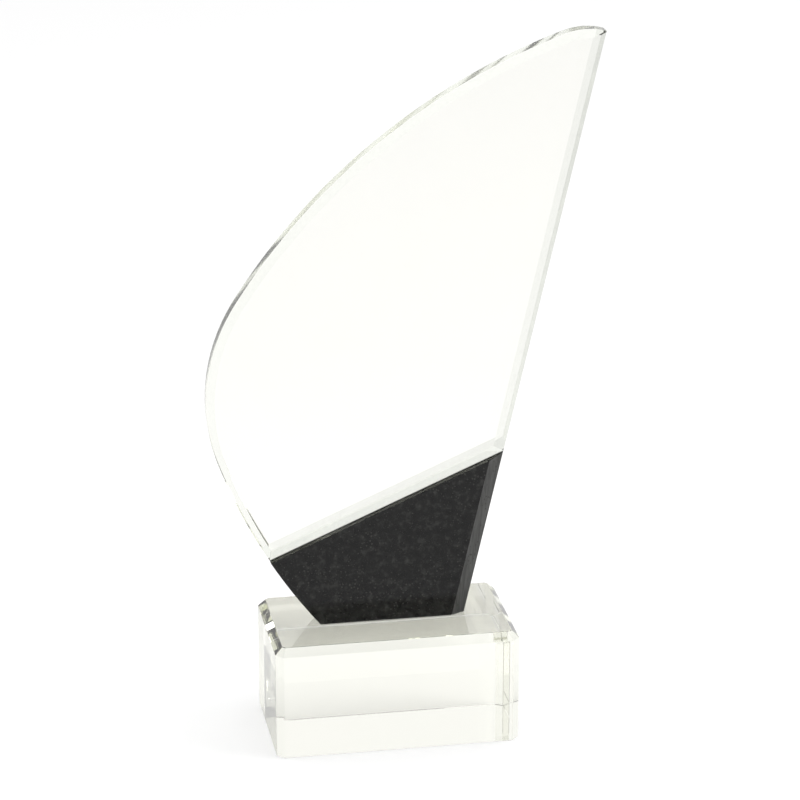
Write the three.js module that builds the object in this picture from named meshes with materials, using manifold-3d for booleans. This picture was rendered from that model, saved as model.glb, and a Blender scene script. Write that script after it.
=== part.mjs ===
// Crystal sail award. A clear crystal block carries a black granite wedge, and a clear crystal
// sail stands on the wedge's slanted top. Two thin films of cured clear adhesive hold the three
// pieces together, so the award has no screws, pins or moving parts.
//
// Millimetres, +Z up. The origin is the centre of the block's underside and the front faces -Y.

import * as THREE from 'three';
import { mergeVertices } from 'three/addons/utils/BufferGeometryUtils.js';
import Module from 'manifold-3d';

const wasm = await Module();
wasm.setup();

// ---- Driving dimensions -------------------------------------------------------------------

// Crystal block: every upright edge and every top edge is ground off at 45 degrees.
const blockWidth = 80;
const blockDepth = 45.4;
const blockHeight = 38;
const blockTopChamfer = 2.4;
const blockCornerChamfer = 2.4;

// Granite wedge and crystal sail are cut from slabs of their own thickness.
const stoneThickness = 8.8;
const sailThickness = 8.8;

// The foot of the wedge stands on the block.
const footLeftX = -22.7;
const footWidth = 47.9;

// The seam between stone and crystal: its rise to the right, and its height over the block's
// top at the centre line.
const seamAngle = 23.2;
const seamHeight = 39.4;

// The left edge is four arcs, each starting in the direction in which the last one ended. It
// leaves the block up and to the left, at this angle above the level.
const leftEdgeStartAngle = 50.5;
const flankRadius = 188;
const flankSweep = 20;
const bellyRadius = 61.7;
const bellySweep = 52.3;
const shoulderRadius = 204.4;
const shoulderSweep = 38;
const noseRadius = 21.2;
const noseSweep = 36;

// Ground bevels, front and back alike. A width runs across the face, a depth into the slab.
const bevelDepth = 2.3;
const curvedEdgeBevel = 2.4;
const straightEdgeBevel = 4.4;
const seamEdgeBevel = 4;

// Behind, the straight edge has a narrower and steeper bevel than in front.
const straightEdgeBackBevel = 1.8;
const straightEdgeBackDepth = 1.3;

// Cured adhesive under the wedge and in the seam.
const bondThickness = 0.2;

// How finely an arc is divided: the longest chord and the largest turn of one step.
const arcChord = 1.5;
const arcTurn = 1.5;

// A length well past the award's edges, for the cutters.
const farAway = 400;

// ---- Solids -------------------------------------------------------------------------------

// A closed three.js geometry as a manifold solid.
function toSolid(geometry) {
  const bare = geometry.clone();
  bare.deleteAttribute('normal');
  bare.deleteAttribute('uv');
  const merged = mergeVertices(bare, 1e-5);
  const vertProperties = Float32Array.from(merged.attributes.position.array);
  const triVerts = Uint32Array.from(merged.index.array);
  return new wasm.Manifold(new wasm.Mesh({ numProp: 3, vertProperties, triVerts }));
}

// A manifold solid as a three.js geometry.
function toGeometry(solid) {
  const mesh = solid.getMesh();
  const geometry = new THREE.BufferGeometry();
  const positions = new THREE.BufferAttribute(Float32Array.from(mesh.vertProperties), 3);
  geometry.setAttribute('position', positions);
  geometry.setIndex(Array.from(mesh.triVerts));
  geometry.computeVertexNormals();
  return geometry;
}

// A slab with an outline given in the X-Z plane, centred on Y = 0. Its edges have a bevel of
// the given width and depth, and the outline is the slab's outermost edge.
function slab(outline, thickness, width, depth) {
  const geometry = new THREE.ExtrudeGeometry(new THREE.Shape(outline), {
    depth: thickness - 2 * depth,
    steps: 1,
    bevelEnabled: depth > 0,
    bevelSegments: 1,
    bevelThickness: depth,
    bevelSize: width,
    bevelOffset: -width,
  });
  geometry.translate(0, 0, depth - thickness / 2);
  geometry.rotateX(Math.PI / 2);
  return toSolid(geometry);
}

// Places a cutter on a straight edge in the X-Z plane. The cutter is drawn with X running into
// the slab, Y through its thickness, and Z along the edge from the edge's middle.
function placeOnEdge(geometry, [start, end]) {
  const along = end.clone().sub(start).normalize();
  const inward = new THREE.Vector3(-along.y, 0, along.x);
  const through = new THREE.Vector3(0, 1, 0);
  const lengthwise = new THREE.Vector3().crossVectors(inward, through);
  geometry.applyMatrix4(new THREE.Matrix4().makeBasis(inward, through, lengthwise));
  geometry.translate((start.x + end.x) / 2, 0, (start.y + end.y) / 2);
  return toSolid(geometry);
}

// Cuts off everything to the right of a line, seen from the front.
function trim(solid, line) {
  const cutter = new THREE.BoxGeometry(farAway, farAway, 2 * farAway);
  cutter.translate(-farAway / 2, 0, 0);
  return solid.subtract(placeOnEdge(cutter, line));
}

// Bevels one straight edge on one face, with the slab to the left of the line. The slope passes
// through the face at the bevel's width and through the edge's flat at its depth, and runs on
// past both.
function bevel(solid, line, thickness, face, width, depth) {
  const over = 2;
  const slope = depth / width;
  const outerY = thickness / 2 - depth - over * slope;
  const innerY = thickness / 2 + over * slope;
  const section = new THREE.Shape([
    new THREE.Vector2(-over, face * outerY),
    new THREE.Vector2(width + over, face * innerY),
    new THREE.Vector2(-over, face * innerY),
  ]);
  const cutter = new THREE.ExtrudeGeometry(section, { depth: 2 * farAway, bevelEnabled: false });
  cutter.translate(0, 0, -farAway);
  return solid.subtract(placeOnEdge(cutter, line));
}

// ---- Outline ------------------------------------------------------------------------------

// The unit direction at an angle above +X in the X-Z plane.
function direction(angle) {
  return new THREE.Vector2(Math.cos(angle), Math.sin(angle));
}

// Adds an arc that turns clockwise from the last point, and returns the heading it ends with.
function addArc(points, heading, radius, sweep) {
  const from = points[points.length - 1];
  const turn = THREE.MathUtils.degToRad(sweep);
  const steps = Math.ceil(Math.max(radius * turn / arcChord, sweep / arcTurn));
  const toStart = direction(heading + Math.PI / 2).multiplyScalar(radius);
  const centre = from.clone().sub(toStart);
  for (let step = 1; step <= steps; step += 1) {
    const angle = heading + Math.PI / 2 - turn * step / steps;
    points.push(centre.clone().addScaledVector(direction(angle), radius));
  }
  return heading - turn;
}

// The left edge from the foot to the nose, run on straight past both ends, and closed far to
// the right. A blank of this outline is trimmed to make each piece of the upright part.
const startHeading = Math.PI - THREE.MathUtils.degToRad(leftEdgeStartAngle);
const leftEdge = [new THREE.Vector2(footLeftX, blockHeight)];
const flankEnd = addArc(leftEdge, startHeading, flankRadius, flankSweep);
const bellyEnd = addArc(leftEdge, flankEnd, bellyRadius, bellySweep);
const shoulderEnd = addArc(leftEdge, bellyEnd, shoulderRadius, shoulderSweep);
const noseHeading = addArc(leftEdge, shoulderEnd, noseRadius, noseSweep);
const footLeft = leftEdge[0];
const nose = leftEdge[leftEdge.length - 1];
const blankOutline = [
  footLeft.clone().addScaledVector(direction(startHeading), -blockHeight),
  ...leftEdge,
  nose.clone().addScaledVector(direction(noseHeading), farAway),
  new THREE.Vector2(farAway, -blockHeight),
];

// The straight lines that trim the blank, each with the kept side on its left.
const seamTilt = THREE.MathUtils.degToRad(seamAngle);
const seamStart = new THREE.Vector2(0, blockHeight + seamHeight);
const seamEnd = seamStart.clone().add(direction(seamTilt));
const bondStep = direction(seamTilt + Math.PI / 2).multiplyScalar(bondThickness);
const footStart = new THREE.Vector2(0, blockHeight + bondThickness);
const rightEdge = [new THREE.Vector2(footLeftX + footWidth, blockHeight), nose];
const blockTop = [footLeft, footLeft.clone().add(direction(0))];
const aboveFootBond = [footStart, footStart.clone().add(direction(0))];
const aboveSeam = [seamStart, seamEnd];
const aboveSeamBond = [seamStart.clone().add(bondStep), seamEnd.clone().add(bondStep)];
const reversed = ([start, end]) => [end, start];

// The faces of an upright slab, by the side of Y = 0 that they lie on.
const front = -1;
const back = 1;

// ---- Pieces -------------------------------------------------------------------------------

// Cuts the straight right edge of an upright piece and bevels it on both faces. The wedge, the
// sail and the film under the wedge share it, so that the edge runs on straight over all three.
function cutRightEdge(solid, thickness) {
  const trimmed = trim(solid, rightEdge);
  const faced = bevel(trimmed, rightEdge, thickness, front, straightEdgeBevel, bevelDepth);
  return bevel(
    faced, rightEdge, thickness, back, straightEdgeBackBevel, straightEdgeBackDepth);
}

// The block: its footprint with cut corners rises with a chamfer round its top. It is made
// with the same chamfer below and a margin, and both are cut away at the underside.
function makeBlock() {
  const x = blockWidth / 2;
  const y = blockDepth / 2;
  const cut = blockCornerChamfer;
  const margin = 2 * blockTopChamfer;
  const footprint = [
    [x - cut, -y], [x, -y + cut], [x, y - cut], [x - cut, y],
    [-x + cut, y], [-x, y - cut], [-x, -y + cut], [-x + cut, -y],
  ];
  const tall = new THREE.ExtrudeGeometry(
    new THREE.Shape(footprint.map((corner) => new THREE.Vector2(...corner))),
    {
      depth: blockHeight + margin - blockTopChamfer,
      steps: 1,
      bevelEnabled: true,
      bevelSegments: 1,
      bevelThickness: blockTopChamfer,
      bevelSize: blockTopChamfer,
      bevelOffset: -blockTopChamfer,
    });
  tall.translate(0, 0, -margin);
  const under = new THREE.BoxGeometry(2 * blockWidth, 2 * blockDepth, 2 * farAway);
  under.translate(0, 0, -farAway);
  return toSolid(tall).subtract(toSolid(under));
}

// The wedge: square left edge, slanted top, and bevels down its straight right edge.
function makeStone() {
  let stone = slab(blankOutline, stoneThickness, 0, 0);
  stone = trim(stone, aboveFootBond);
  stone = trim(stone, reversed(aboveSeam));
  return cutRightEdge(stone, stoneThickness);
}

// The sail: bevelled all round. In front the bevel is wider down the straight edge, where it
// carries on the wedge's bevel, and along the seam.
function makeSail() {
  let sail = slab(blankOutline, sailThickness, curvedEdgeBevel, bevelDepth);
  sail = trim(sail, aboveSeamBond);
  sail = cutRightEdge(sail, sailThickness);
  sail = bevel(sail, aboveSeamBond, sailThickness, front, seamEdgeBevel, bevelDepth);
  return bevel(sail, aboveSeamBond, sailThickness, back, seamEdgeBevel, bevelDepth);
}

// The film under the wedge covers the wedge's foot, bevelled corners included.
function makeFootBond() {
  let film = slab(blankOutline, stoneThickness, 0, 0);
  film = trim(film, blockTop);
  film = trim(film, reversed(aboveFootBond));
  return cutRightEdge(film, stoneThickness);
}

// The film in the seam covers the flat of the sail's lower edge.
function makeSeamBond() {
  let film = slab(blankOutline, sailThickness - 2 * bevelDepth, 0, 0);
  film = trim(film, aboveSeam);
  film = trim(film, reversed(aboveSeamBond));
  return trim(film, rightEdge);
}

// ---- Materials ----------------------------------------------------------------------------

function crystal() {
  return new THREE.MeshStandardMaterial({ color: 0xf2f5f2, roughness: 0.03, metalness: 0 });
}

function granite() {
  return new THREE.MeshStandardMaterial({ color: 0x2b2b28, roughness: 0.14, metalness: 0 });
}

function adhesive() {
  return new THREE.MeshStandardMaterial({ color: 0xf8f8f2, roughness: 0.1, metalness: 0 });
}

// ---- Assembly -----------------------------------------------------------------------------

const award = new THREE.Group();

function addPiece(name, solid, material) {
  const mesh = new THREE.Mesh(toGeometry(solid), material);
  mesh.name = name;
  award.add(mesh);
}

addPiece('base_block', makeBlock(), crystal());
addPiece('foot_bond', makeFootBond(), adhesive());
addPiece('stone_body', makeStone(), granite());
addPiece('seam_bond', makeSeamBond(), adhesive());
addPiece('sail_plate', makeSail(), crystal());

export default award;
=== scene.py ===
# %% [markdown]
# # A crystal award on a clear block
#
# The award is three cut pieces held by two films of clear adhesive: a crystal block, a wedge of
# black granite that stands on it, and a crystal sail on the wedge's slanted top. This lesson
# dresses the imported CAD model. The CAD model gives every size and place, and Blender adds eased
# edges, real refraction, stone grain and light.
#
# Everything is in metres, with +Z up, -Y towards the viewer and the origin under the block.

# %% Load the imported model
import math

import bmesh
import bpy
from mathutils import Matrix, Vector


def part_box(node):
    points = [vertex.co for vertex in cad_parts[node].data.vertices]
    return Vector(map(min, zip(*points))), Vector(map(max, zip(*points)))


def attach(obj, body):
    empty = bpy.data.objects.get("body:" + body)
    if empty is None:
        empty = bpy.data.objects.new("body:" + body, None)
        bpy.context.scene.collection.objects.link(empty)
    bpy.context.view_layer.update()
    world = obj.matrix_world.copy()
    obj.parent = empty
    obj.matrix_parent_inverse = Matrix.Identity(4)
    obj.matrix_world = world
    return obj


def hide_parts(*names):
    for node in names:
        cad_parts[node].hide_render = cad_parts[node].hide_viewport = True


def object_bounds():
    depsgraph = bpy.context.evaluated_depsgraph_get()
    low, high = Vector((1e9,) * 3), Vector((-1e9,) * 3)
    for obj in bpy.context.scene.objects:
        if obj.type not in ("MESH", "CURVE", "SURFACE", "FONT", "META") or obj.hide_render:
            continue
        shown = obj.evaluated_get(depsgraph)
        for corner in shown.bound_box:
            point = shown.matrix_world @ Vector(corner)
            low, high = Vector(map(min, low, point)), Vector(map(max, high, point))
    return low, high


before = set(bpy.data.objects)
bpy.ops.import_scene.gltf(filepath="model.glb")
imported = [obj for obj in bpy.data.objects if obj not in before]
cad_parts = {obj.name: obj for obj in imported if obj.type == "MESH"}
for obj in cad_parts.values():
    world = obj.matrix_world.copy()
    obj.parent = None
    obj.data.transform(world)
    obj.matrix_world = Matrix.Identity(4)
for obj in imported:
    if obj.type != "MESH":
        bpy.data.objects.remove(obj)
cad_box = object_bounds()
low, high = cad_box
centre = (low + high) / 2
MM = 0.001
print("nodes:", sorted(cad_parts))
print("overall size in mm:", [round(side / MM, 1) for side in high - low])

# %% [markdown]
# ## The camera
#
# Product pictures of tall, thin pieces are taken from far away with a long lens, so that
# upright edges stay nearly parallel. The camera stands a little to the left and looks down by
# 20 degrees. It aims close to the award's middle, so its place is worked out from the model's
# own box: a change of size in the model carries the camera with it.

# %% Camera
CAMERA_AZIMUTH = math.radians(-10.17)
CAMERA_ELEVATION = math.radians(20.26)
CAMERA_DISTANCE = 1.0644
CAMERA_LENS = 149.5
AIM_OFFSET = Vector((-1.1, 0.0, -3.5)) * MM

towards_camera = Vector((
    math.sin(CAMERA_AZIMUTH) * math.cos(CAMERA_ELEVATION),
    -math.cos(CAMERA_AZIMUTH) * math.cos(CAMERA_ELEVATION),
    math.sin(CAMERA_ELEVATION),
))
aim = Vector((centre.x, 0.0, centre.z)) + AIM_OFFSET
camera_data = bpy.data.cameras.new("camera")
camera_data.lens = CAMERA_LENS
camera_data.sensor_width = 36.0
camera_data.clip_start = 0.01
camera = bpy.data.objects.new("camera", camera_data)
camera.location = aim + towards_camera * CAMERA_DISTANCE
camera.rotation_mode = "QUATERNION"
camera.rotation_quaternion = towards_camera.to_track_quat("Z", "Y")
bpy.context.scene.collection.objects.link(camera)
bpy.context.scene.camera = camera
print("camera at", [round(value, 3) for value in camera.location])

# %% [markdown]
# ## A helper for material nodes
#
# A material is a small network. Writing `node(tree, "ShaderNodeTexNoise", Scale=300)` makes one
# node and fills in its inputs by name, and an input that is given another node's output is
# wired to it. That keeps each recipe below as short as it reads.

# %% Node helper
def node(tree, kind, settings=None, **inputs):
    made = tree.nodes.new(kind)
    for name, value in (settings or {}).items():
        setattr(made, name, value)
    for name, value in inputs.items():
        socket = made.inputs[name.replace("_", " ")]
        if isinstance(value, bpy.types.NodeSocket):
            tree.links.new(value, socket)
        else:
            socket.default_value = value
    return made


def new_material(name):
    material = bpy.data.materials.new(name)
    material.use_nodes = True
    tree = material.node_tree
    tree.nodes.clear()
    return material, tree


def ramp(tree, factor, *stops):
    made = node(tree, "ShaderNodeValToRGB", Fac=factor)
    elements = made.color_ramp.elements
    while len(elements) < len(stops):
        elements.new(0.5)
    for element, (place, colour) in zip(elements, stops):
        element.position = place
        element.color = colour
    return made.outputs["Color"]


def mixed(tree, factor, first, second):
    made = node(tree, "ShaderNodeMix", {"data_type": "RGBA"})
    tree.links.new(factor, made.inputs["Factor"])
    for value, socket in ((first, made.inputs[6]), (second, made.inputs[7])):
        if isinstance(value, bpy.types.NodeSocket):
            tree.links.new(value, socket)
        else:
            socket.default_value = value
    return made.outputs[2]


def grey(value):
    return (value, value, value, 1.0)


# %% [markdown]
# ## Crystal
#
# Optical crystal bends light more than window glass and hardly tints it. A Principled shader
# with full transmission does the bending. What makes it look like a cut piece and not like
# computer glass is small: a breath of haze and finger smudges that change the roughness a
# little, and the slight waviness that polishing leaves. A Volume Absorption inside takes away
# a little light for each centimetre, so thick parts look greener and darker than thin ones.
#
# The bevels are ground and not fully polished. Their fine scratches scatter some of the light
# that goes through, so they get more haze and a slight grey of their own. The narrow walls
# between two bevels are ground coarser still. Each face carries its share of grinding, from 0
# for a polished face over a half for a bevel to 1 for a wall, as an attribute that the recipe
# reads. A face with less than GROUND_LIMIT counts as polished.

# %% Crystal
CRYSTAL_IOR = 1.52
CRYSTAL_TINT = (0.82, 0.83, 0.70, 1.0)
CRYSTAL_DENSITY = 5.0
GROUND_SHARE = "ground_share"
GROUND_LIMIT = 0.05
BEVEL_SHARE, WALL_SHARE = 0.5, 1.0
BEVEL_HAZE, WALL_HAZE = 0.08, 0.13
POLISHING_WAVE = 0.004 * MM


def crystal(name):
    material, tree = new_material(name)
    place = node(tree, "ShaderNodeTexCoord").outputs["Object"]
    ground = node(tree, "ShaderNodeAttribute", {"attribute_name": GROUND_SHARE}).outputs["Fac"]
    is_ground = node(tree, "ShaderNodeMath", {"operation": "GREATER_THAN"})
    tree.links.new(ground, is_ground.inputs[0])
    is_ground.inputs[1].default_value = GROUND_LIMIT
    smudge = node(tree, "ShaderNodeTexNoise", Vector=place, Scale=55.0, Detail=4.0,
                  Roughness=0.6).outputs["Fac"]
    scratches = node(tree, "ShaderNodeTexNoise", Vector=place, Scale=700.0, Detail=3.0,
                     Roughness=0.7).outputs["Fac"]
    polished_haze = ramp(tree, smudge, (0.45, grey(0.0)), (0.75, grey(0.012)))
    grinding = ramp(tree, ground, (0.0, grey(0.0)), (BEVEL_SHARE, grey(BEVEL_HAZE)),
                    (WALL_SHARE, grey(WALL_HAZE)))
    unevenness = ramp(tree, scratches, (0.35, grey(0.6)), (0.70, grey(1.0)))
    ground_haze = node(tree, "ShaderNodeMix", {"data_type": "RGBA", "blend_type": "MULTIPLY"},
                       Factor=1.0)
    tree.links.new(grinding, ground_haze.inputs[6])
    tree.links.new(unevenness, ground_haze.inputs[7])
    haze = mixed(tree, is_ground.outputs["Value"], polished_haze, ground_haze.outputs[2])
    polished = ramp(tree, smudge, (0.40, (0.955, 0.951, 0.919, 1.0)),
                    (0.80, (0.945, 0.942, 0.908, 1.0)))
    dulled = ramp(tree, scratches, (0.35, (0.86, 0.875, 0.83, 1.0)),
                  (0.70, (0.80, 0.815, 0.77, 1.0)))
    dulling = ramp(tree, ground, (0.0, grey(0.0)), (BEVEL_SHARE, grey(1.0)))
    clear = mixed(tree, dulling, polished, dulled)
    wave = node(tree, "ShaderNodeTexNoise", Vector=place, Scale=60.0, Detail=1.0).outputs["Fac"]
    bump = node(tree, "ShaderNodeBump", Strength=1.0, Distance=POLISHING_WAVE, Height=wave)
    shader = node(tree, "ShaderNodeBsdfPrincipled", Base_Color=clear, Roughness=haze,
                  Normal=bump.outputs["Normal"])
    shader.inputs["IOR"].default_value = CRYSTAL_IOR
    shader.inputs["Transmission Weight"].default_value = 1.0
    inside = node(tree, "ShaderNodeVolumeAbsorption", Color=CRYSTAL_TINT,
                  Density=CRYSTAL_DENSITY)
    node(tree, "ShaderNodeOutputMaterial", Surface=shader.outputs["BSDF"],
         Volume=inside.outputs["Volume"])
    return material


optical_crystal = crystal("optical_crystal")
print("crystal finish:", optical_crystal.name, "with refractive index", CRYSTAL_IOR)

# %% [markdown]
# ## Black granite
#
# Black granite is nearly black crystals with scattered pale flecks and a fine dark-grey mottle.
# Voronoi cells make grains with clear borders, and a noise decides which few of them are pale.
# Its polish is bright but not perfect: each grain takes the polish a little differently, so
# the roughness follows the grains too.
#
# A ground bevel on black stone looks lighter than its polished face, because its scratches
# scatter light. They run along the edge, which is why the noise for them is stretched there.
# The lean of that edge is measured on the wedge itself, so the streaks follow it.

# %% Granite
straight_side = max(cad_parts["stone_body"].data.polygons, key=lambda face: face.normal.x)
EDGE_LEAN = math.atan2(-straight_side.normal.z, straight_side.normal.x)
GRANITE_IOR = 1.54
GRANITE_SPECULAR = 0.21
GRAIN_RELIEF = 0.01 * MM
FLECK = (0.034, 0.034, 0.031, 1.0)
print("the straight edge leans by", round(math.degrees(EDGE_LEAN), 1), "degrees")


def granite(name):
    material, tree = new_material(name)
    place = node(tree, "ShaderNodeTexCoord").outputs["Object"]
    mottle = node(tree, "ShaderNodeTexNoise", Vector=place, Scale=420.0, Detail=4.0,
                  Roughness=0.6)
    ground = node(tree, "ShaderNodeAttribute", {"attribute_name": GROUND_SHARE}).outputs["Fac"]
    face_body = ramp(tree, mottle.outputs["Fac"], (0.30, (0.003, 0.003, 0.003, 1.0)),
                     (0.52, (0.009, 0.009, 0.0085, 1.0)), (0.72, (0.030, 0.030, 0.028, 1.0)))
    lengthwise = node(tree, "ShaderNodeMapping", Vector=place, Rotation=(0.0, -EDGE_LEAN, 0.0),
                      Scale=(1400.0, 1400.0, 40.0))
    streaks = node(tree, "ShaderNodeTexNoise", Vector=lengthwise.outputs["Vector"], Scale=1.0,
                   Detail=3.0)
    ground_body = ramp(tree, streaks.outputs["Fac"], (0.35, (0.045, 0.045, 0.043, 1.0)),
                       (0.65, (0.085, 0.085, 0.082, 1.0)))
    body = mixed(tree, ground, face_body, ground_body)
    grains = node(tree, "ShaderNodeTexVoronoi", Vector=place, Scale=800.0)
    cloud = node(tree, "ShaderNodeTexNoise", Vector=place, Scale=120.0, Detail=2.0)
    fleck_size = node(tree, "ShaderNodeMapRange", Value=cloud.outputs["Fac"], From_Min=0.35,
                      From_Max=0.75, To_Min=0.10, To_Max=0.30)
    fleck = node(tree, "ShaderNodeMath", {"operation": "LESS_THAN"})
    tree.links.new(grains.outputs["Distance"], fleck.inputs[0])
    tree.links.new(fleck_size.outputs["Result"], fleck.inputs[1])
    colour = mixed(tree, fleck.outputs["Value"], body, FLECK)
    face_polish = ramp(tree, mottle.outputs["Fac"], (0.30, grey(0.10)), (0.75, grey(0.22)))
    ground_polish = ramp(tree, streaks.outputs["Fac"], (0.35, grey(0.38)), (0.65, grey(0.55)))
    polish = mixed(tree, ground, face_polish, ground_polish)
    bump = node(tree, "ShaderNodeBump", Strength=0.25, Distance=GRAIN_RELIEF,
                Height=mottle.outputs["Fac"])
    shader = node(tree, "ShaderNodeBsdfPrincipled", Base_Color=colour,
                  Roughness=polish, Normal=bump.outputs["Normal"])
    shader.inputs["IOR"].default_value = GRANITE_IOR
    shader.inputs["Specular IOR Level"].default_value = GRANITE_SPECULAR
    node(tree, "ShaderNodeOutputMaterial", Surface=shader.outputs["BSDF"])
    return material


black_granite = granite("black_granite")
print("stone finish:", black_granite.name)

# %% [markdown]
# ## Cured adhesive
#
# The two films are clear and a fifth of a millimetre thick. They lie on black stone, so all
# that shows of them is the thin bright line of their edge. A slight yellowish tint and a few
# tiny pockets of trapped air keep that line from looking like a drawn one.

# %% Adhesive
ADHESIVE_IOR = 1.5
ADHESIVE_CLEARNESS = 0.6


def adhesive(name):
    material, tree = new_material(name)
    place = node(tree, "ShaderNodeTexCoord").outputs["Object"]
    pockets = node(tree, "ShaderNodeTexNoise", Vector=place, Scale=700.0, Detail=2.0)
    colour = ramp(tree, pockets.outputs["Fac"],
                  (0.40, (0.50, 0.50, 0.47, 1.0)), (0.70, (0.70, 0.70, 0.66, 1.0)))
    gloss = ramp(tree, pockets.outputs["Fac"], (0.40, grey(0.08)), (0.75, grey(0.30)))
    shader = node(tree, "ShaderNodeBsdfPrincipled", Base_Color=colour, Roughness=gloss)
    shader.inputs["IOR"].default_value = ADHESIVE_IOR
    shader.inputs["Transmission Weight"].default_value = ADHESIVE_CLEARNESS
    node(tree, "ShaderNodeOutputMaterial", Surface=shader.outputs["BSDF"])
    return material


clear_adhesive = adhesive("clear_adhesive")
print("film finish:", clear_adhesive.name)

# %% [markdown]
# ## Cut and polished solids
#
# A CAD node comes as loose triangles with razor-sharp edges. Each cut piece starts as a copy of
# its node, and three operators turn it into clean modelling geometry: doubled points are
# merged, triangles that lie in one plane are dissolved into whole facets, and every sharp edge
# gets a narrow flat of its own. A cutter calls that eased edge an arris. It is thinner than a
# fingernail's edge, but it is what catches the light.
#
# Curved edges are made of many short facets. They are shaded smooth, and edges that turn by
# more than a few degrees are marked sharp, so flats stay flat and curves look curved.
#
# The parts of a cut piece can come out in another order at each run. They are sorted along one
# slanted direction before the mesh is made, so that every run gives the same mesh.

# %% Solids from the model
MERGE_DISTANCE = 0.002 * MM
FLAT_ANGLE = math.radians(0.3)
SMOOTH_ANGLE = math.radians(4.0)
ARRIS_ANGLE = math.radians(12.0)
SORT_DIRECTION = Vector((1.0, 0.6180339, 0.2718281))


def solid_from(node_name):
    solid = bmesh.new()
    solid.from_mesh(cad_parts[node_name].data)
    bmesh.ops.remove_doubles(solid, verts=solid.verts, dist=MERGE_DISTANCE)
    bmesh.ops.dissolve_limit(solid, angle_limit=FLAT_ANGLE, verts=solid.verts,
                             edges=solid.edges)
    return solid


def ease_edges(solid, width, segments):
    sharp = [edge for edge in solid.edges if edge.calc_face_angle(0.0) > ARRIS_ANGLE]
    bmesh.ops.bevel(solid, geom=sharp, offset=width, offset_type="OFFSET", affect="EDGES",
                    segments=segments, profile=0.5, material=-1, clamp_overlap=True)
    print(f"{len(sharp)} sharp edges eased by {width / MM:.2f} mm")


def shade(solid):
    for face in solid.faces:
        face.smooth = True
    for edge in solid.edges:
        edge.smooth = edge.calc_face_angle(0.0) < SMOOTH_ANGLE


def sort_parts(solid):
    solid.verts.sort(key=lambda vertex: vertex.co.dot(SORT_DIRECTION))
    solid.edges.sort(key=lambda edge: (edge.verts[0].co + edge.verts[1].co).dot(SORT_DIRECTION))
    solid.faces.sort(key=lambda face: face.calc_center_median().dot(SORT_DIRECTION))


def finish_piece(solid, name, materials, replaced_node):
    sort_parts(solid)
    shade(solid)
    open_edges = sum(1 for edge in solid.edges if not edge.is_manifold)
    volume = solid.calc_volume()
    mesh = bpy.data.meshes.new(name)
    solid.to_mesh(mesh)
    print(f"{name}: {len(solid.faces)} faces, {volume * 1e6:.1f} cubic cm, {open_edges} open edges")
    solid.free()
    for material in materials:
        mesh.materials.append(material)
    piece = bpy.data.objects.new(name, mesh)
    bpy.context.scene.collection.objects.link(piece)
    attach(piece, "root")
    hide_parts(replaced_node)


# %% [markdown]
# ## The crystal block
#
# The block carries the wedge. Where the two are glued, light inside the block no longer bounces
# off the top face: it passes through the clear adhesive and is lost in the black stone. That is
# why dark shapes show in the block's bevels. Two solids that only touch can't do this in a
# renderer, because there is always a hair of air between them. So the top face is cut along the
# foot's outline, and the part under the foot gets the granite finish.
#
# The block's chamfers are polished nearly as well as its faces, so their share of grinding is
# small. A face counts as facing a direction when its normal's share along it is above FACING.

# %% Block
BONDED_SLOT = 1
CHAMFER_SHARE = 0.15
FACING = 0.999
SQUARE_FACE = 0.98
LEVEL_FACE = 0.9
CUT_DISTANCE = 0.001 * MM


def mark_ground(solid, share_of):
    layer = solid.faces.layers.float.new(GROUND_SHARE)
    for face in solid.faces:
        face[layer] = share_of(face)


def cut_along(solid, faces, outline_node):
    foot = solid_from(outline_node)
    walls = [(face.calc_center_median(), face.normal.copy())
             for face in foot.faces if abs(face.normal.z) < LEVEL_FACE]
    foot.free()
    for point, normal in walls:
        geometry = set(faces)
        for face in faces:
            geometry.update(face.verts)
            geometry.update(face.edges)
        cut = bmesh.ops.bisect_plane(solid, geom=list(geometry), dist=CUT_DISTANCE,
                                     plane_co=point, plane_no=normal)
        faces = [part for part in cut["geom"] if isinstance(part, bmesh.types.BMFace)]
    return [face for face in faces
            if all((face.calc_center_median() - point).dot(normal) < 0 for point, normal in walls)]


def block_share(face):
    return CHAMFER_SHARE if max(abs(value) for value in face.normal) < SQUARE_FACE else 0.0


block = solid_from("base_block")
ease_edges(block, width=0.15 * MM, segments=2)
mark_ground(block, block_share)
top_faces = [face for face in block.faces if face.normal.z > FACING]
bonded_faces = cut_along(block, top_faces, "foot_bond")
for face in bonded_faces:
    face.material_index = BONDED_SLOT
bonded_area = sum(face.calc_area() for face in bonded_faces)
print(f"bonded to the wedge: {bonded_area / MM ** 2:.0f} square mm of the top face")
finish_piece(block, "crystal_block", [optical_crystal, black_granite], "base_block")

# %% [markdown]
# ## The granite wedge
#
# The polished wedge keeps crisp edges. A wider arris would draw a pale line along the seam. Only
# the two bevels down its straight edge are ground, and the recipe makes those lighter.

# %% Wedge
BEVEL_TURN = 0.3


def wedge_share(face):
    return 1.0 if face.normal.x > BEVEL_TURN and abs(face.normal.y) > BEVEL_TURN else 0.0


wedge = solid_from("stone_body")
ease_edges(wedge, width=0.08 * MM, segments=2)
mark_ground(wedge, wedge_share)
finish_piece(wedge, "granite_wedge", [black_granite], "stone_body")

# %% [markdown]
# ## The crystal sail
#
# The sail is bevelled all round, front and back. Its bevels are prisms: they turn the view
# sideways, up to the wall or down to the table, which draws the bright and dark bands along
# the rim. Its lower edge is bonded to the wedge like the block's top. That edge is slanted, so
# the direction that it faces is worked out from the film in the seam.

# %% Sail
WALL_TURN = 0.05
sail = solid_from("sail_plate")
ease_edges(sail, width=0.12 * MM, segments=1)
seam_low, seam_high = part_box("seam_bond")
seam_slope = Vector((seam_high.x - seam_low.x, 0.0, seam_high.z - seam_low.z)).normalized()
seam_down = Vector((seam_slope.z, 0.0, -seam_slope.x))


def is_bonded(face):
    return face.normal.dot(seam_down) > FACING


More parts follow.
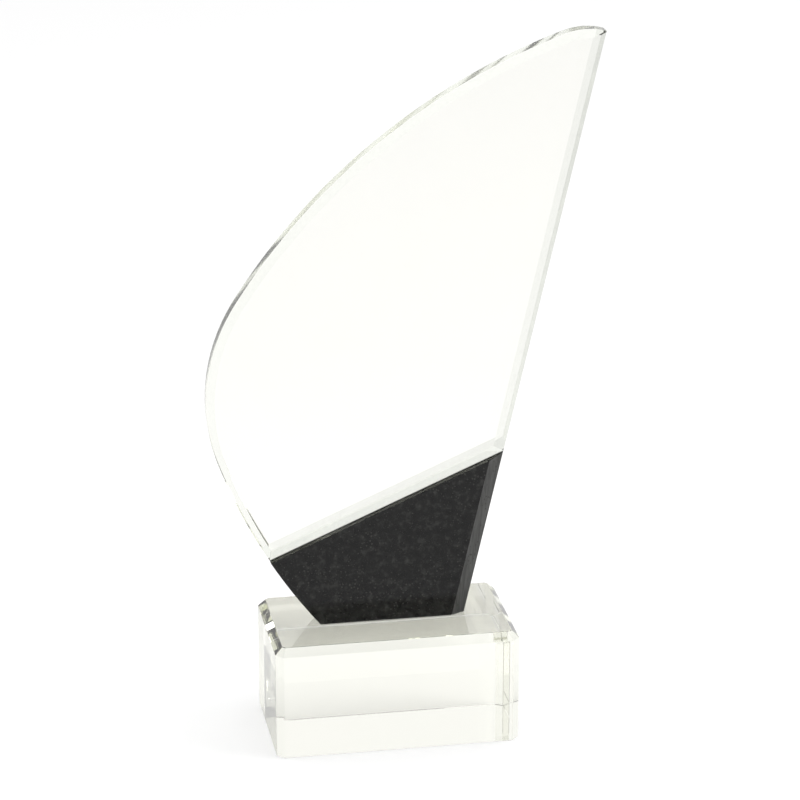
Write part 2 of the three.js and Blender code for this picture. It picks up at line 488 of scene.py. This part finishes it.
def sail_share(face):
    if abs(face.normal.y) > FACING or is_bonded(face):
        return 0.0
    return WALL_SHARE if abs(face.normal.y) < WALL_TURN else BEVEL_SHARE


mark_ground(sail, sail_share)
for face in sail.faces:
    if is_bonded(face):
        face.material_index = BONDED_SLOT
finish_piece(sail, "crystal_sail", [optical_crystal, black_granite], "sail_plate")

# %% [markdown]
# ## The adhesive films
#
# Each film is drawn in by a hair's breadth all round, so that its faces don't lie exactly in
# the faces that it touches. Two surfaces in one place would flicker.

# %% Films
FILM_INSET = 0.02 * MM


def film(name, node_name):
    solid = solid_from(node_name)
    solid.normal_update()
    moves = [(vertex, vertex.calc_shell_factor() * vertex.normal) for vertex in solid.verts]
    for vertex, outward in moves:
        vertex.co -= outward * FILM_INSET
    finish_piece(solid, name, [clear_adhesive], node_name)


film("foot_film", "foot_bond")
film("seam_film", "seam_bond")

# %% [markdown]
# ## The table
#
# The award stands on a wide sheet of white acrylic that glows. Its glow lights the award like a lamp,
# and it is also painted light: the glow is brightest round the award, where it fills in the award's
# shadow. The sheet is large, because the bevels look out to the sides and far behind. It lies a tenth
# of a millimetre below the block, so that the two faces don't share one plane.

# %% Table
TABLE_RADIUS = 6.0
TABLE_DROP = 0.1 * MM
GLOW_INNER, GLOW_OUTER = 0.08, 1.2


def lay_down(shape, name, drop, material):
    mesh = bpy.data.meshes.new(name)
    shape.to_mesh(mesh)
    shape.free()
    mesh.materials.append(material)
    sheet = bpy.data.objects.new(name, mesh)
    sheet.location.z = -drop
    bpy.context.scene.collection.objects.link(sheet)
    print(f"{name}: {len(mesh.polygons)} face, {drop / MM:.2f} mm below the award")


def skin_and_glow(tree, skin, glow):
    both = node(tree, "ShaderNodeAddShader")
    tree.links.new(skin.outputs["BSDF"], both.inputs[0])
    tree.links.new(glow.outputs["Emission"], both.inputs[1])
    node(tree, "ShaderNodeOutputMaterial", Surface=both.outputs["Shader"])


white_table, tree = new_material("white_table")
table_place = node(tree, "ShaderNodeTexCoord").outputs["Object"]
table_radius = node(tree, "ShaderNodeVectorMath", {"operation": "LENGTH"})
tree.links.new(table_place, table_radius.inputs[0])
# Painted light: the glow fades outwards from the award, so it fills in the award's shadow on the
# sheet.
painted_glow_falloff = node(tree, "ShaderNodeMapRange", Value=table_radius.outputs["Value"],
                 From_Min=GLOW_INNER, From_Max=GLOW_OUTER)
painted_glow_colour = ramp(tree, painted_glow_falloff.outputs["Result"], (0.0, grey(0.42)), (0.25, grey(0.35)),
           (1.0, grey(0.31)))
table_skin = node(tree, "ShaderNodeBsdfDiffuse", Color=grey(0.56))
table_painted_glow = node(tree, "ShaderNodeEmission", Color=painted_glow_colour, Strength=1.0)
skin_and_glow(tree, table_skin, table_painted_glow)
table_shape = bmesh.new()
bmesh.ops.create_circle(table_shape, cap_ends=True, segments=96, radius=TABLE_RADIUS)
lay_down(table_shape, "floor", TABLE_DROP, white_table)

# %% [markdown]
# ## The card
#
# A thin white card, nearly as big as the block's foot, lies between the block and the table. It hides
# the table's glow and has a weaker glow of its own, which is painted light in place of glow coming
# through it, so the block's top face stays a quiet grey.

# %% Card
CARD_DROP = 0.07 * MM
CARD_TRIM = 2 * MM
CARD_PAINTED_GLOW = 0.36
card_low, card_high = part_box("base_block")
white_card, tree = new_material("white_card")
card_place = node(tree, "ShaderNodeTexCoord").outputs["Object"]
card_fibre = node(tree, "ShaderNodeTexNoise", Vector=card_place, Scale=400.0, Detail=3.0)
card_colour = ramp(tree, card_fibre.outputs["Fac"], (0.3, (0.80, 0.80, 0.78, 1.0)),
                   (0.7, (0.86, 0.86, 0.84, 1.0)))
card_skin = node(tree, "ShaderNodeBsdfDiffuse", Color=card_colour)
# Painted light: the card glows on its own, a weaker stand-in for the table's glow seen through it.
card_painted_glow = node(tree, "ShaderNodeEmission", Color=card_colour, Strength=CARD_PAINTED_GLOW)
skin_and_glow(tree, card_skin, card_painted_glow)
card_shape = bmesh.new()
bmesh.ops.create_grid(card_shape, x_segments=1, y_segments=1, size=0.5)
bmesh.ops.scale(card_shape, verts=card_shape.verts,
                vec=(card_high.x - card_low.x - CARD_TRIM, card_high.y - card_low.y - CARD_TRIM, 1.0))
lay_down(card_shape, "card", CARD_DROP, white_card)

# %% [markdown]
# ## The light tent
#
# Glass has no look of its own: it shows what is around it. It is lit as in a white light tent:
# a bright roof, white walls behind and at the sides, and a dark opening in front. The dark parts
# of the room draw the dark lines in the crystal's edges. Each part's brightness is halved in the
# recipe, which keeps its colours within the sliders' range of 0 to 1, and TENT_STRENGTH nearly
# doubles them again.

# %% World
ROOF, BACK, SIDE, FRONT = 1.42, 1.13, 1.08, 0.3
TENT_STRENGTH = 1.92
ROOF_EDGE, ROOF_FULL = 0.45, 0.85
world = bpy.data.worlds.new("tent")
bpy.context.scene.world = world
world.use_nodes = True
tent = world.node_tree
tent.nodes.clear()
facing = node(tent, "ShaderNodeTexCoord").outputs["Generated"]
axes = node(tent, "ShaderNodeSeparateXYZ", Vector=facing)
around = node(tent, "ShaderNodeMapRange", Value=axes.outputs["Y"], From_Min=-1.0, From_Max=1.0)
wall = ramp(tent, around.outputs["Result"], (0.30, grey(FRONT / 2)), (0.39, grey(SIDE / 2)),
            (0.8, grey(BACK / 2)))
roof_share = node(tent, "ShaderNodeMapRange", Value=axes.outputs["Z"],
                  From_Min=ROOF_EDGE, From_Max=ROOF_FULL)
shell = mixed(tent, roof_share.outputs["Result"], wall, grey(ROOF / 2))
glow = node(tent, "ShaderNodeBackground", Color=shell, Strength=TENT_STRENGTH)
node(tent, "ShaderNodeOutputWorld", Surface=glow.outputs["Background"])
print("tent: roof", ROOF, "back", BACK, "sides", SIDE, "front", FRONT)

# %% [markdown]
# ## The softbox
#
# One large, weak softbox on the right, turned to the award's middle, gives the faint shadow on
# the left.

# %% Softbox
SOFTBOX_SIDE = 0.9
SOFTBOX_WATTS = 11.0
SOFTBOX_PLACE = (1.3, -0.35, 1.0)
softbox_data = bpy.data.lights.new("softbox", "AREA")
softbox_data.shape = "RECTANGLE"
softbox_data.size = SOFTBOX_SIDE
softbox_data.size_y = SOFTBOX_SIDE
softbox_data.energy = SOFTBOX_WATTS
softbox = bpy.data.objects.new("softbox", softbox_data)
softbox.location = SOFTBOX_PLACE
softbox.rotation_mode = "QUATERNION"
softbox.rotation_quaternion = (softbox.location - aim).to_track_quat("Z", "Y")
bpy.context.scene.collection.objects.link(softbox)
print(f"softbox: {SOFTBOX_WATTS:.0f} W, {(softbox.location - aim).length:.2f} m away")

# %% [markdown]
# ## Letting light out of the glass
#
# Light that enters a cut edge can bounce many times between the facets before it finds a way
# out. By default a path ends after four such mirror bounces and the edge turns black, so the
# limits are raised. The colours are left as they come from the light, with white as white.

# %% Picture
MOST_BOUNCES = 32
GLASS_BOUNCES = 24
picture = bpy.context.scene
picture.cycles.max_bounces = MOST_BOUNCES
picture.cycles.glossy_bounces = GLASS_BOUNCES
picture.cycles.transmission_bounces = GLASS_BOUNCES
picture.view_settings.view_transform = "Standard"
picture.view_settings.look = "None"
print("bounces:", MOST_BOUNCES, "in all,", GLASS_BOUNCES, "in glass")
